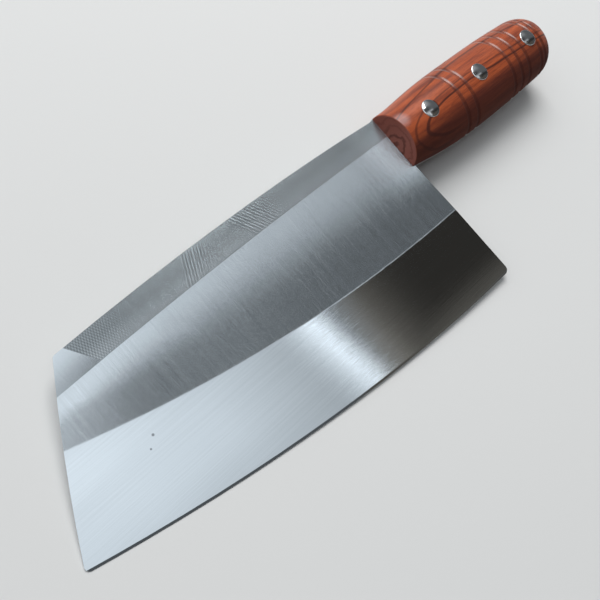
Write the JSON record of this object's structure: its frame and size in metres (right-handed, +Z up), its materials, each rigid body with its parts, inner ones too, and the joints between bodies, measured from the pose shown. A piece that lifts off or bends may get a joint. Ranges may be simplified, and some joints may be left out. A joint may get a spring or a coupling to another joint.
{
  "type": "chinese cleaver",
  "caption": "Light slicing cleaver with a tall hollow-ground blade, a leaning nose and a riveted hardwood handle.",
  "frame": {"origin": "bottom centre of the bounding box, on the surface that the knife lies on", "axes": "+Z up off that surface; +X runs along the knife from the nose to the butt of the handle; +Y towards the spine, with the cutting edge on the -Y side. The knife lies on its right face as it comes to rest: rolled 8.45 degrees towards its cutting edge and pitched 1.93 degrees towards its nose."},
  "size_m": [0.3072, 0.0884, 0.0318],
  "materials": {
    "blade_steel": "ground and brushed",
    "handle_wood": "satin lacquer over reddish hardwood",
    "rivet_steel": "polished"
  },
  "bodies": {
    "root": {"blade": "blade_steel", "left_scale": "handle_wood", "right_scale": "handle_wood", "rivet_pin_front": "rivet_steel", "rivet_pin_middle": "rivet_steel", "rivet_pin_back": "rivet_steel", "rivet_tube_front": "rivet_steel", "rivet_tube_middle": "rivet_steel", "rivet_tube_back": "rivet_steel"}
  },
  "joints": []
}
